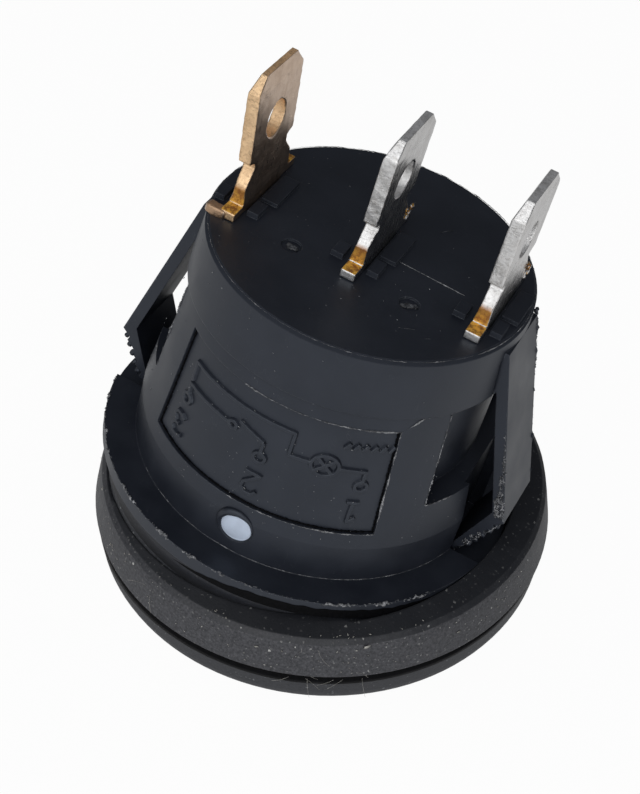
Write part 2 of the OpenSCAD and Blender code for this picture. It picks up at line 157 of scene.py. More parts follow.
# sharp edges, worn unevenly, as a mask for wear and a painted highlight, with a softened normal
def makeEdgeGroup():
    group, given, result = startGroup(
        "edgesWornAndLit", {"Place": (0, 0, 0), "Radius": 0.06 * mm, "Ragged": 0.5},
        {"WornAndLit": "Float", "Normal": "Vector"})
    soft = addNode("Bevel", {"Radius": given["Radius"]}, samples=6)[0]
    facing = addNode("VectorMath", {0: soft, 1: surface(group)}, operation="DOT_PRODUCT")["Value"]
    edge = remap(facing, 0.985, 0.86)
    broken = remap(noiseAt(given["Place"], 3.2, 4.0, 0.7), 0.42, 0.6)
    ragged = addNode("Mix", {0: given["Ragged"], 2: 1.0, 3: broken})[0]
    feed(result, {"WornAndLit": times(edge, ragged), "Normal": soft})
    return group


# round specks of dust, in some of the cells, picked at random
def makeSpeckGroup():
    group, given, result = startGroup(
        "dustSpecks", {"Place": (0, 0, 0), "Scale": 4.0, "Size": 0.2, "Amount": 0.3},
        {"Mask": "Float"})
    wobble = addNode("TexNoise", {"Vector": given["Place"], "Scale": 9.0, "Detail": 2.0})["Color"]
    place = addNode("VectorMath", {0: given["Place"], 1: scaled(wobble, 0.16)}, operation="ADD")[0]
    cells = addNode("TexVoronoi", {"Vector": place, "Scale": given["Scale"]})
    pick = splitXyz(cells["Color"])
    size = times(given["Size"], remap(pick[1], 0, 1, 0.35, 1.0))
    inside = calc("LESS_THAN", cells["Distance"], size)
    chosen = calc("LESS_THAN", pick[0], given["Amount"])
    bright = remap(pick[2], 0.0, 1.0, 0.3, 1.0)
    feed(result, {"Mask": times(times(inside, chosen), bright)})
    return group


# thin broken scratches, along the lines where the noise passes its middle
def makeScratchGroup():
    group, given, result = startGroup(
        "fineScratches", {"Place": (0, 0, 0), "Width": 0.01}, {"Mask": "Float"})
    lines = noiseAt(given["Place"], 1.0, 2.0, 0.6, 0.4)
    off = calc("ABSOLUTE", calc("SUBTRACT", lines, 0.5))
    line = calc("LESS_THAN", off, given["Width"])
    where = remap(noiseAt(given["Place"], 0.37, 2.0), 0.45, 0.6)
    feed(result, {"Mask": times(line, where)})
    return group


edgeGroup = makeEdgeGroup()
speckGroup = makeSpeckGroup()
scratchGroup = makeScratchGroup()


def edgesAt(place, radius, ragged):
    return useGroup(edgeGroup, {"Place": place, "Radius": radius, "Ragged": ragged})


def specksAt(place, scale, size, amount):
    return useGroup(speckGroup, {"Place": place, "Scale": scale, "Size": size, "Amount": amount})[0]


def scratchesAt(place, width):
    return useGroup(scratchGroup, {"Place": place, "Width": width})[0]


# a material, its tree, its shader and the point on the piece in millimetres
def newMaterial(name):
    material = bpy.data.materials.new(name)
    material.use_nodes = True
    tree = material.node_tree
    place = scaled(addNode("TexCoord", tree=tree)["Object"], 1 / mm)
    return material, tree, tree.nodes["Principled BSDF"], place


nylon = {
    "color": rgb(0.0115, 0.0135, 0.0195),
    "paler": rgb(0.0165, 0.019, 0.0265),
    # paler: scuffs, and the painted highlight on the edges
    "paleScuffAndLight": rgb(0.07, 0.075, 0.085),
    "dust": rgb(0.16, 0.165, 0.17),
    "sheen": rgb(0.8, 0.88, 1.0),
    "roughness": 0.42,
    "rimZ": (13.84, 13.9),  # the rear rim's rounded edge starts here, and is duller
    "rimRougher": 0.45,
    "edgeRadius": 0.07 * mm,
    "specks": 0.16,
    "grain": 0.006 * mm,
}


def blackNylon(name, settings):
    material, tree, shader, place = newMaterial(name)
    cloud = noiseAt(place, 0.4, 4.0)
    grain = noiseAt(place, 11.0, 3.0)
    edges = edgesAt(place, settings["edgeRadius"], 0.8)
    specks = specksAt(place, 1.7, 0.09, settings["specks"])
    scuffs = scratchesAt(stretch(place, (1.2, 1.6, 0.7), (0.4, 0.3, 0.5)), 0.0022)
    color = mixColor(remap(cloud, 0.38, 0.66), settings["color"], settings["paler"])
    color = mixColor(times(scuffs, 0.35), color, settings["paleScuffAndLight"])
    # edges painted paler: wear, and a painted highlight
    color = mixColor(times(edges["WornAndLit"], 0.75), color, settings["paleScuffAndLight"])
    color = mixColor(specks, color, settings["dust"])
    even = settings["roughness"]
    rough = remap(cloud, 0.3, 0.7, even - 0.05, even + 0.07)
    rough = plus(rough, times(specks, 0.3))
    rim = remap(splitXyz(place)[2], *settings["rimZ"])
    rim = times(rim, remap(splitXyz(surface(tree))[2], 0.985, 0.96))
    rough = plus(rough, times(rim, settings["rimRougher"]))
    height = plus(times(grain, 0.6), times(specks, 3.0))
    feed(shader, {"Base Color": color, "Roughness": rough, "Specular Tint": settings["sheen"],
                  "Normal": bump(height, settings["grain"], 0.5, edges["Normal"])})
    return material


rubber = {
    "color": rgb(0.0085, 0.0098, 0.0135),
    # paler on the walls: dust, and painted light
    "dustAndLight": rgb(0.082, 0.0825, 0.092),
    "speck": rgb(0.5, 0.5, 0.48),
    "rubbedAndLit": rgb(0.09, 0.09, 0.09),
    "edgeRadius": 0.14 * mm,
}


# dust, and painted light: the walls are painted paler than what faces up or down, and get most of the
# specks
def dustAndLightRubber(name, settings):
    material, tree, shader, place = newMaterial(name)
    cloud = noiseAt(place, 0.7, 5.0, 0.6)
    grain = noiseAt(place, 7.0, 4.0, 0.7)
    wall = remap(calc("ABSOLUTE", splitXyz(surface(tree))[2]), 0.8, 0.4)
    edges = edgesAt(place, settings["edgeRadius"], 0.6)
    fine = times(specksAt(place, 4.6, 0.3, 0.5), remap(cloud, 0.4, 0.62, 0.25, 0.9))
    specks = calc("MAXIMUM", times(fine, 0.55), specksAt(place, 1.7, 0.13, 0.5))
    specks = times(specks, remap(wall, 0, 1, 0.35, 1.0))
    # painted light: the walls are painted paler, as if lit, along with their dust
    dust = times(remap(grain, 0.35, 0.72), wall)
    color = mixColor(dust, settings["color"], settings["dustAndLight"])
    # edges painted paler: rubbed, and a painted highlight
    color = mixColor(times(edges["WornAndLit"], 0.3), color, settings["rubbedAndLit"])
    color = mixColor(specks, color, settings["speck"])
    rough = plus(remap(grain, 0.3, 0.7, 0.5, 0.62), times(specks, 0.3))
    height = plus(grain, times(specks, 1.2))
    feed(shader, {"Base Color": color, "Roughness": rough,
                  "Normal": bump(height, 0.03 * mm, 0.5, edges["Normal"])})
    return material


tin = {
    "face": rgb(0.54, 0.53, 0.52),
    "sheared": rgb(0.78, 0.775, 0.77),
    "stain": rgb(0.36, 0.34, 0.32),
    "bright": rgb(0.86, 0.86, 0.87),
    "roughness": 0.26,
}
brassFinish = {
    "face": rgb(0.62, 0.47, 0.355),
    "sheared": rgb(0.92, 0.66, 0.4),
    "stain": rgb(0.36, 0.23, 0.14),
    "bright": rgb(0.9, 0.7, 0.48),
    "roughness": 0.32,
}
# the stems are bare copper between these heights, apart from the foot's end below footTop; the copper
# carries painted glints, mottled and lit toward the band's bottom
bareCopper = {
    "deep": rgb(0.3, 0.12, 0.035),
    "lit": rgb(1.0, 0.6, 0.1),
    "band": (14.62, 15.75),
    "footTop": 14.66,
    "metallic": 0.55,
}


# plated faces, sheared edges with cross scratches, and bare copper low on the stem with painted glints
def tabMetal(name, settings, copper):
    material, tree, shader, place = newMaterial(name)
    facing = splitXyz(surface(tree, "True Normal"))
    acrossFace = calc("ABSOLUTE", facing[0])
    upHeight = splitXyz(place)[2]
    side = remap(acrossFace, 0.6, 0.4)
    cloud = noiseAt(place, 1.3, 4.0, 0.6)
    pits = noiseAt(place, 6.0, 5.0, 0.75)
    drawn = noiseAt(stretch(place, (10.0, 10.0, 1.0)), 1.0, 4.0, 0.6)
    across = scratchesAt(stretch(place, (1.0, 1.0, 5.0), (0.35, 0.15, 0)), 0.016)
    slanted = scratchesAt(stretch(place, (0.6, 2.4, 1.1), (0.8, 0, 0)), 0.008)
    edges = edgesAt(place, 0.07 * mm, 0.4)

    color = mixColor(side, settings["face"], settings["sheared"])
    color = mixColor(remap(cloud, 0.45, 0.75, 0.0, 0.5), color, settings["stain"])
    scratched = mixColor(side, times(slanted, 0.5), times(across, 0.45))
    color = mixColor(scratched, color, settings["stain"])
    mottle = times(remap(pits, 0.52, 0.68), remap(side, 0, 1, 0.12, 0.6))
    color = mixColor(mottle, color, settings["stain"])
    # edges painted paler: wear, and a painted highlight
    color = mixColor(times(edges["WornAndLit"], 0.6), color, settings["bright"])

    low, high = copper["band"]
    notFace = remap(acrossFace, 0.6, 0.5)
    notFoot = calc("MAXIMUM", remap(facing[2], 0.7, 0.8),
                   calc("GREATER_THAN", upHeight, copper["footTop"]))
    height = plus(upHeight, times(noiseAt(place, 3.0, 3.0, 0.6), 0.35))
    bare = times(remap(height, high + 0.15, high - 0.1), times(notFace, notFoot))
    bare = times(bare, calc("GREATER_THAN", upHeight, low - 0.12))
    # painted glints on the bare copper: mottled, and lit toward the band's bottom
    mottled = remap(noiseAt(place, 3.2, 4.0, 0.7), 0.42, 0.58, 0.1, 1.0)
    glow = times(remap(height, high + 0.1, low), mottled)
    color = mixColor(bare, color, mixColor(glow, copper["deep"], copper["lit"]))

    even = settings["roughness"]
    rough = remap(drawn, 0.3, 0.7, even - 0.06, even + 0.1)
    rough = plus(rough, times(side, 0.16))
    rough = plus(rough, times(remap(facing[2], 0.85, 0.95), 0.25))
    relief = calc("SUBTRACT", times(drawn, 0.12), across)
    relief = plus(relief, times(pits, remap(side, 0, 1, 0.4, 3.5)))
    feed(shader, {"Base Color": color, "Roughness": rough,
                  "Metallic": remap(bare, 0, 1, 1.0, copper["metallic"]),
                  "Normal": bump(relief, 0.012 * mm, 0.6, edges["Normal"])})
    return material


def plainPlastic(name, color, roughness, transmission=0.0):
    material, tree, shader, place = newMaterial(name)
    grain = noiseAt(place, 5.0, 3.0)
    cloud = noiseAt(place, 0.8, 3.0)
    edges = edgesAt(place, 0.08 * mm, 0.3)
    darker = rgb(*[c * 0.78 for c in color[:3]])
    feed(shader, {
        "Base Color": mixColor(remap(cloud, 0.35, 0.7), color, darker),
        "Roughness": remap(grain, 0.3, 0.7, roughness - 0.05, roughness + 0.08),
        "Transmission Weight": transmission,
        "Normal": bump(grain, 0.01 * mm, 0.4, edges["Normal"])})
    return material


# plastic left along moulded edges, in dark and pale patches
def flashPlastic(name, dark, pale, shine=0.5):
    material, tree, shader, place = newMaterial(name)
    patches = remap(noiseAt(place, 4.5, 4.0, 0.75), 0.42, 0.66)
    feed(shader, {
        "Base Color": mixColor(patches, dark, pale),
        "Roughness": 0.55,
        "Specular IOR Level": shine,
        "Normal": bump(noiseAt(place, 9.0, 3.0), 0.02 * mm, 0.6)})
    return material


housingSkin = blackNylon("housingNylon", nylon)
rubberSkin = dustAndLightRubber("dustAndLightRubber", rubber)
bezelSkin = dustAndLightRubber("bezelPlastic", {**rubber, "dustAndLight": rgb(0.036, 0.038, 0.045),
                                         "speck": rgb(0.34, 0.35, 0.36)})
# a darker copy of the rubber, as painted shade on the front ring's neck
neckShadeSkin = dustAndLightRubber("neckShadeRubber", {**rubber, "dustAndLight": rgb(0.014, 0.016, 0.023),
                                      "speck": rgb(0.1, 0.1, 0.11)})
tinSkin = tabMetal("tinnedCopper", tin, bareCopper)
brassSkin = tabMetal("plainBrass", brassFinish, bareCopper)
whiteSkin = plainPlastic("whiteNylon", rgb(0.55, 0.63, 0.76), 0.4)
redSkin = plainPlastic("redLens", rgb(0.45, 0.018, 0.014), 0.18, 0.35)
glassSkin = plainPlastic("lampGlass", rgb(0.95, 0.8, 0.65), 0.08, 0.85)
resistorSkin = plainPlastic("resistorLacquer", rgb(0.1, 0.22, 0.36), 0.35)
flashSkin = flashPlastic("tornFlash", rgb(0.035, 0.037, 0.042), rgb(0.36, 0.365, 0.38))
glintSkin = flashPlastic("paleGlint", rgb(0.09, 0.095, 0.1), rgb(0.42, 0.43, 0.44))
scuffSkin = flashPlastic("rearScuff", rgb(0.015, 0.017, 0.021), rgb(0.1, 0.105, 0.115))
# near-black and hardly shiny: painted shade, on the label recess's corners, in the groove between the
# rings and on the flange's side
shadeSkin = flashPlastic("paintedShade", rgb(0.0012, 0.0013, 0.0017), rgb(0.003, 0.003, 0.004), 0.06)
earSkin = tabMetal("bronzeEar", {**brassFinish, "sheared": rgb(0.5, 0.34, 0.22)},
                   {**bareCopper, "band": (30.0, 30.5)})  # the band is above the ear, so none is bare
lintSkin = flashPlastic("paleLint", rgb(0.2, 0.19, 0.17), rgb(0.55, 0.54, 0.5))

finishes = (
    (housingSkin, ("housing",)),
    (bezelSkin, ("front_bezel",)),
    (rubberSkin, ("sealing_ring",)),
    (redSkin, ("rocker_cap",)),
    (whiteSkin, ("rocker_carrier",)),
    (brassSkin, ("lamp_terminal", "plunger", "contact_lever", "lamp_contact_a", "lamp_contact_b")),
    (tinSkin, ("common_terminal", "load_terminal", "plunger_spring", "moving_contact",
               "fixed_contact", "lamp_link", "lamp_lead_a", "lamp_lead_b")),
    (glassSkin, ("lamp_bulb",)),
    (resistorSkin, ("lamp_resistor",)),
)
for material, nodes in finishes:
    for node in nodes:
        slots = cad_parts[node].data.materials
        slots.clear()
        slots.append(material)
print("materials on the CAD nodes")

# the moulding's sizes, as in the part's source
body = {
    "barrelR": 9.9,
    "barrelLen": 2.4,
    "collarR": 8.914,
    "collarZ": 10.7,
    "step": 0.16,
    "rearR": 8.6,
    "rearEdge": 0.2,
    "depth": 14.1,
    "flangeR": 11.6,
    "flangeFront": -1.0,
    "labelAngle": 41,
    "labelZ": (3.35, 9.8),
    "labelDepth": 0.2,
}


def barrelRadius(z):
    if z <= body["barrelLen"]:
        return body["barrelR"]
    if z < body["collarZ"]:
        part = (z - body["barrelLen"]) / (body["collarZ"] - body["barrelLen"])
        return body["barrelR"] + part * (body["collarR"] - body["step"] - body["barrelR"])
    part = (z - body["collarZ"]) / (body["depth"] - body["rearEdge"] - body["collarZ"])
    return body["collarR"] + part * (body["rearR"] - body["collarR"])


# angles run from the near side toward the load tab's end
def polar(angle, radius, z):
    a = radians(angle)
    return Vector((radius * sin(a), -radius * cos(a), z))


def onBarrel(angle, z, lift=0.0):
    return polar(angle, barrelRadius(z) + lift, z)


def alongBarrel(start, stop, count, lift=0.0):
    (angleA, zA), (angleB, zB) = start, stop
    return [onBarrel(angleA + (angleB - angleA) * i / count, zA + (zB - zA) * i / count, lift)
            for i in range(count + 1)]


def alongArc(radius, z, start, stop, count):
    return [polar(start + (stop - start) * i / count, radius, z) for i in range(count + 1)]


def alongLine(a, b, count):
    a, b = Vector(a), Vector(b)
    return [a.lerp(b, i / count) for i in range(count + 1)]


# a smooth uneven value between -1 and 1
def uneven(x, y, z):
    return noise.noise(Vector((x, y, z)))


def outward(point):
    return Vector((point.x, point.y, 0)).normalized()


def makePiece(name, mesh, material, rides="body", slot="housing", smooth=True):
    obj = bpy.data.objects.new(name, mesh)
    bpy.context.collection.objects.link(obj)
    mesh.materials.append(material)
    for face in mesh.polygons:
        face.use_smooth = smooth
    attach(obj, rides)
    return obj


def bmeshPiece(name, fill, material, **options):
    mesh = bpy.data.meshes.new(name)
    bm = bmesh.new()
    fill(bm)
    bmesh.ops.recalc_face_normals(bm, faces=bm.faces)
    bm.to_mesh(mesh)
    bm.free()
    return makePiece(name, mesh, material, **options)


# a CAD node's mesh, to be worn or bent and shown in the node's place
def copiedMesh(node, name):
    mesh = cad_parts[node].data.copy()
    mesh.name = name
    mesh.materials.clear()
    return mesh


# faces between each row of vertices and the next
def bridge(bm, rows, closed=True):
    count = len(rows[0])
    for low, high in zip(rows, rows[1:]):
        for k in range(count if closed else count - 1):
            j = (k + 1) % count
            bm.faces.new((low[k], low[j], high[j], high[k]))


def capEnds(bm, rings):
    bm.faces.new(list(reversed(rings[0])))
    bm.faces.new(rings[-1])


def heading(points, i):
    return (points[min(i + 1, len(points) - 1)] - points[max(i - 1, 0)]).normalized()


# a closed tube through the points, with its own radius at each one
def addTube(bm, points, radii, sides):
    rings = []
    side = None
    for i, point in enumerate(points):
        ahead = heading(points, i)
        if side is None:
            side = ahead.orthogonal().normalized()
        side = (side - ahead * side.dot(ahead)).normalized()
        up = ahead.cross(side)
        ring = []
        for k in range(sides):
            a = 2 * pi * k / sides
            ring.append(bm.verts.new((point + (side * cos(a) + up * sin(a)) * radii[i]) * mm))
        rings.append(ring)
    bridge(bm, rings)
    capEnds(bm, rings)


# a bumpy little ball, squashed by its own share along each axis
def addLump(bm, center, size, squash, bumps, scale, offset):
    for vert in bmesh.ops.create_icosphere(bm, subdivisions=2, radius=1.0)["verts"]:
        reach = size * (1 + bumps * noise.noise(vert.co * scale + offset))
        vert.co = (center + Vector([a * b for a, b in zip(vert.co, squash)]) * reach) * mm


# a torn bead along a path: it swells, thins out and wanders
def addRagged(bm, points, width, seed, wander=0.5, keep=0.45):
    rng = random.Random(seed)
    offset = Vector((seed * 3.1, seed * 1.7, seed * 0.9))
    moved, radii = [], []
    for point in points:
        swell = noise.noise(point * 1.3 + offset) * 0.5 + 0.5
        fine = noise.noise(point * 5.0 + offset)
        drift = Vector((rng.uniform(-1, 1), rng.uniform(-1, 1), rng.uniform(-1, 1)))
        moved.append(point + drift * width * wander)
        size = width * max(0.08, (swell - keep) * 2.2 + 0.35 * fine)
        radii.append(min(size, width * 1.3))
    addTube(bm, moved, radii, 5)


# a small flat crumb lying on a surface that faces out
def addFleck(bm, center, out, size, rng):
    side = out.orthogonal().normalized()
    spin = Matrix.Rotation(rng.uniform(0, 6.28), 3, out)
    side = spin @ side
    up = out.cross(side)
    count = rng.randint(5, 7)
    ring = []
    for k in range(count):
        a = 2 * pi * k / count
        reach = size * rng.uniform(0.5, 1.0)
        point = center + side * cos(a) * reach * 1.8 + up * sin(a) * reach * 0.7
        ring.append(bm.verts.new((point + out * 0.015) * mm))
    top = bm.verts.new((center + out * (0.02 + size * 0.35)) * mm)
    base = bm.verts.new((center - out * 0.02) * mm)
    for k in range(count):
        j = (k + 1) % count
        bm.faces.new((ring[k], ring[j], top))
        bm.faces.new((ring[j], ring[k], base))


# the black line of shade in the label recess's corners
groove = {"lift": 0.03, "inset": 0.35, "footInset": 0.05, "radius": (0.02, 0.075)}


def fillLabelGroove(bm):
    low, high = body["labelZ"]
    edge = body["labelAngle"]
    near = edge - groove["inset"]
    foot = low + groove["footInset"]
    lift = groove["lift"] - body["labelDepth"]
    border = alongBarrel((near, high), (near, low), 90, lift)
    border += alongBarrel((near, foot), (near - 2 * edge, foot), 160, lift)[1:-1]
    border += alongBarrel((-near, low), (-near, high), 60, lift)
    rng = random.Random(5)
    addTube(bm, border, [rng.uniform(*groove["radius"]) for point in border], 5)


# rough little bosses left by the ejector pins, and scuffs on the rear face
rear = {
    "bosses": ((-3.3, -2.9), (3.3, -2.9)),
    "lumps": 7,
    "lumpR": 0.14,
    "spread": 0.3,
    "sunk": 0.1,
    "scuffs": (((3.6, -4.9), (4.3, -4.5)), ((4.4, -5.1), (5.2, -4.6)),
               ((-1.2, 5.2), (-0.4, 5.6)), ((2.2, 3.6), (2.7, 4.3))),
    "scuffWidth": 0.03,
}


def fillRearMarks(bm):
    rng = random.Random(44)
    for cx, cy in rear["bosses"]:
        for i in range(rear["lumps"]):
            turn = rng.uniform(0, 6.28)
            reach = rng.uniform(0.0, rear["spread"])
            spot = Vector((cx + reach * cos(turn), cy + reach * sin(turn),
                           body["depth"] - rear["sunk"]))
            addLump(bm, spot, rear["lumpR"], (1.5, 1, 0.7), 0.6, 1.5, Vector((i, cx, 0)))
    for start, stop in rear["scuffs"]:
        line = alongLine((*start, body["depth"]), (*stop, body["depth"]), 14)
        addRagged(bm, line, rear["scuffWidth"], start[0], 0.4, 0.25)


# torn flash: each strip has its path, seed, wander and keep, and a smaller keep leaves more of it
flangeFlash = {"width": 0.125, "inset": 0.03, "z": -0.02, "arcs": ((-78, 62, 3), (110, 265, 8)),
               "footWidth": 0.018, "footArc": (-40, 74), "footLift": 0.01, "footZ": 0.03}


def fillFlangeFlash(bm):
    radius = body["flangeR"] - flangeFlash["inset"]
    for start, stop, seed in flangeFlash["arcs"]:
        addRagged(bm, alongArc(radius, flangeFlash["z"], start, stop, 420), flangeFlash["width"], seed)
    foot = alongArc(body["barrelR"] + flangeFlash["footLift"], flangeFlash["footZ"],
                    *flangeFlash["footArc"], 260)
    addRagged(bm, foot, flangeFlash["footWidth"], 5, 0.2, 0.3)


labelFlash = {"width": 0.055, "footFrom": -6, "topFrom": -12, "cut": (8, 0.9), "cutWidth": 0.044}


def fillLabelFlash(bm):
    low, high = body["labelZ"]
    edge = body["labelAngle"]
    width = labelFlash["width"]
    run, rise = labelFlash["cut"]
    addRagged(bm, alongBarrel((labelFlash["footFrom"], low), (edge, low), 160), width, 11, 0.3, 0.35)
    addRagged(bm, alongBarrel((labelFlash["topFrom"], high), (edge, high), 160), width, 12, 0.3, 0.3)
    addRagged(bm, alongBarrel((edge, low), (edge, high), 120), width, 13, 0.4, 0.42)
    addRagged(bm, alongBarrel((edge, high), (edge + run, high + rise), 40, 0.02),
              labelFlash["cutWidth"], 15, 0.3, 0.4)


# the pockets' edges beside the latches, as y and z on the barrel
pocketFlash = {"width": 0.07, "top": (-4.62, 10.45), "low": (-5.29, 4.85),
               "footWidth": 0.049, "foot": ((-5.29, 4.8), (-3.69, 4.8))}


def fillPocketFlash(bm):
    for side in (1, -1):
        def ontoBarrel(start, stop, count):
            line = alongLine((0, *start), (0, *stop), count)
            return [Vector((side * sqrt(barrelRadius(z) ** 2 - y * y), y, z)) for x, y, z in line]
        addRagged(bm, ontoBarrel(pocketFlash["top"], pocketFlash["low"], 140),
                  pocketFlash["width"], 21 + side, 0.4, 0.36)
        addRagged(bm, ontoBarrel(*pocketFlash["foot"], 40),
                  pocketFlash["footWidth"], 25 + side, 0.3, 0.36)


# the latches' outer faces, as x and z of the root and the elbow
latch = {"root": (8.66, 13.3), "elbow": (11.7, 3.1), "half": 2.0}


def alongLatch(side, start, stop, count, inset, y):
    (rootX, rootZ), (elbowX, elbowZ) = latch["root"], latch["elbow"]
    slope = (elbowX - rootX) / (rootZ - elbowZ)
    ends = [(side * (rootX + (rootZ - z) * slope - inset), y, z) for z in (start, stop)]
    return alongLine(*ends, count)


# dark beads that break the outline of each latch's far edge
latchBeads = {"edge": (13.5, 3.7), "width": 0.17, "root": (13.6, 10.2), "rootWidth": 0.15}


def fillLatchBeads(bm):
    far = latch["half"]
    for side in (1, -1):
        addRagged(bm, alongLatch(side, *latchBeads["edge"], 260, 0.12, far),
                  latchBeads["width"], 61 + side, 0.35, 0.3)
        addRagged(bm, alongLatch(side, *latchBeads["root"], 70, 0.05, far + 0.05),
                  latchBeads["rootWidth"], 64 + side, 0.3, 0.35)


# torn teeth across the lower leg of each latch
latchTeeth = {"count": 5, "top": (11.45, 0, 2.75), "foot": (10.15, 0, 0.15), "radius": 0.15}


def fillLatchTeeth(bm):
    rng = random.Random(9)
    top, foot = Vector(latchTeeth["top"]), Vector(latchTeeth["foot"])
    half = latch["half"]
    for side in (1, -1):
        for i in range(latchTeeth["count"]):
            spot = top.lerp(foot, (i + 0.15) / latchTeeth["count"])
            points, radii = [], []
            for k in range(25):
                y = -half + 2 * half * k / 24
                sway = uneven(y * 1.6, i * 2.0, side * 3.0)
                points.append(Vector((side * (spot.x + 0.05 * sway), y, spot.z + 0.12 * sway)))
                radii.append(latchTeeth["radius"] + 0.08 * uneven(y * 2.5, i, side)
                             + rng.uniform(0, 0.02))
            addTube(bm, points, radii, 7)


# flash down both edges of each latch, and on the near face of the one by the load tab
latchFlash = {
    "width": 0.07,
    "edge": (9.9, 3.2),
    "edgeShare": {1: 0.7, -1: 0.3},
    "rowEnd": 3.3,
    "rows": ((8.6, 0.07), (7.0, 0.14), (6.0, 0.24), (5.0, 0.36), (4.4, 0.5)),  # start and inset
    "root": (13.2, 10.2),
    "rootWidth": 0.084,
    "leg": ((11.55, -2.0, 2.9), (9.8, -2.0, -0.3)),
    "crumbs": 34,
    "crumbLine": ((11.6, -2.01, 2.9), (9.9, -2.01, -0.25)),
    "crumbPart": (0.35, 0.72),
    "crumbSize": (0.03, 0.065),
}


def fillLatchFlash(bm):
    half, width = latch["half"], latchFlash["width"]
    crumbStart, crumbEnd = (Vector(end) for end in latchFlash["crumbLine"])
    crumbFacing = Vector((0.2, -0.8, 0.5)).normalized()
    for side in (1, -1):
        for edge in (-1, 1):
            addRagged(bm, alongLatch(side, *latchFlash["edge"], 220, 0.05, edge * half),
                      width * latchFlash["edgeShare"][side], 31 + side + 3 * edge, 0.4, 0.42)
        if side < 0:
            continue
        for row, (start, inset) in enumerate(latchFlash["rows"]):
            strip = alongLatch(side, start, latchFlash["rowEnd"], 150, inset, -half - 0.01)
            addRagged(bm, strip, width, 42 + 3 * row, 1.1, 0.38)
        rng = random.Random(6)
        for i in range(latchFlash["crumbs"]):
            spot = crumbStart.lerp(crumbEnd, rng.uniform(*latchFlash["crumbPart"]))
            spot += Vector((-rng.uniform(0.0, 0.45), rng.uniform(-0.06, 0.02), 0))
            addFleck(bm, spot, crumbFacing, rng.uniform(*latchFlash["crumbSize"]), rng)
        root = alongLatch(side, *latchFlash["root"], 90, 0.02, half + 0.05)
        addRagged(bm, root, latchFlash["rootWidth"], 45, 0.6, 0.36)
        addRagged(bm, alongLine(*latchFlash["leg"], 60), width, 48, 0.6, 0.38)


# flash on the rear rim, and a fine seam between two tabs
rimFlash = {
    "width": 0.035,
    "arcs": ((-60, 60, 300, 0.12, 0.03, 51, 0.42), (62, 300, 400, 0.1, 0.04, 52, 0.4)),
    "seam": ((1.54, -0.19), (5.26, -0.34)),
    "seamWidth": 0.028,
}


def fillRimFlash(bm):
    for start, stop, count, inset, sunk, seed, keep in rimFlash["arcs"]:
        arc = alongArc(body["rearR"] - inset, body["depth"] - sunk, start, stop, count)
        addRagged(bm, arc, rimFlash["width"], seed, 0.3, keep)
    (ax, ay), (bx, by) = rimFlash["seam"]
    z = body["depth"] + 0.005
    addRagged(bm, alongLine((ax, ay, z), (bx, by, z), 90), rimFlash["seamWidth"], 53, 0.2, 0.2)


bmeshPiece("labelGroove", fillLabelGroove, shadeSkin)
bmeshPiece("rearMarks", fillRearMarks, scuffSkin)
bmeshPiece("flangeFlash", fillFlangeFlash, flashSkin)
bmeshPiece("labelFlash", fillLabelFlash, flashSkin)
bmeshPiece("pocketFlash", fillPocketFlash, flashSkin)
bmeshPiece("latchBeads", fillLatchBeads, housingSkin)
bmeshPiece("latchTeeth", fillLatchTeeth, housingSkin)
bmeshPiece("latchFlash", fillLatchFlash, flashSkin)
bmeshPiece("rimFlash", fillRimFlash, flashSkin)
print("flash along the edges")

# generic raised marks, drawn on the unrolled panel in millimetres from its middle
marks = {
    "growX": 1.12,
    "growY": 0.97,
    "lift": 0.15,
    "stroke": 0.21,
    "below": 0.1,
    "digitHeight": 1.3,
    "digitWidth": 0.72,
    "digitY": 1.25,
    "digits": (("1", -5.1), ("2", -0.45), ("3", 4.2)),
    "contacts": (-4.7, 0.0, 4.6),
    "ticks": (-5.6, -5.2, -4.8, -4.4, -4.0, -3.6),
}

digitStrokes = {
    "1": [[(0.15, 0.75), (0.5, 1.0), (0.5, 0.0)], [(0.2, 0.0), (0.8, 0.0)]],
    "2": [[(0.1, 0.8), (0.3, 1.0), (0.7, 1.0), (0.9, 0.78), (0.85, 0.55), (0.1, 0.0), (0.9, 0.0)]],
    "3": [[(0.1, 0.9), (0.35, 1.0), (0.75, 1.0), (0.9, 0.78), (0.75, 0.55), (0.45, 0.52)],
          [(0.75, 0.52), (0.92, 0.25), (0.75, 0.02), (0.35, 0.0), (0.1, 0.12)]],
}


def circleStroke(cx, cy, radius):
    turns = [radians(18 * i) for i in range(21)]
    return [(cx + radius * cos(a), cy + radius * sin(a)) for a in turns]


def labelStrokes():
    strokes = []
    high, y = marks["digitHeight"], marks["digitY"]
    for digit, x in marks["digits"]:
        for line in digitStrokes[digit]:
            strokes.append([(x + px * high * marks["digitWidth"], y + py * high) for px, py in line])
    strokes += [circleStroke(x, 0.2, 0.28) for x in marks["contacts"]]
    # the switch's arm, its wires and the lamp
    strokes += [
        [(0.0, -0.08), (0.0, -0.75)],
        [(0.0, -0.75), (1.35, -1.2)],
        circleStroke(1.65, -0.75, 0.2),
        [(1.85, -0.75), (4.6, -0.75), (4.6, -0.08)],
        [(-4.7, -0.08), (-4.7, -0.75), (-3.5, -0.75)],
        circleStroke(-2.85, -0.75, 0.62),
        [(-3.28, -1.18), (-2.42, -0.32)],
        [(-3.28, -0.32), (-2.42, -1.18)],
        [(-2.23, -0.75), (-1.2, -0.75), (-1.2, -2.1), (4.6, -2.1), (4.6, -0.95)],
    ]
    strokes += [[(x, -2.4), (x + 0.2, -2.05)] for x in marks["ticks"]]
    return strokes


# the panel's middle, and a point of the drawing on it, which is turned over there, since
# the panel is read with the tabs pointing down
panelMiddle = sum(body["labelZ"]) / 2 - marks["below"]


def onPanel(x, z, lift):
    angle = degrees(x / (barrelRadius(z) - body["labelDepth"]))
    return onBarrel(angle, z, lift - body["labelDepth"])


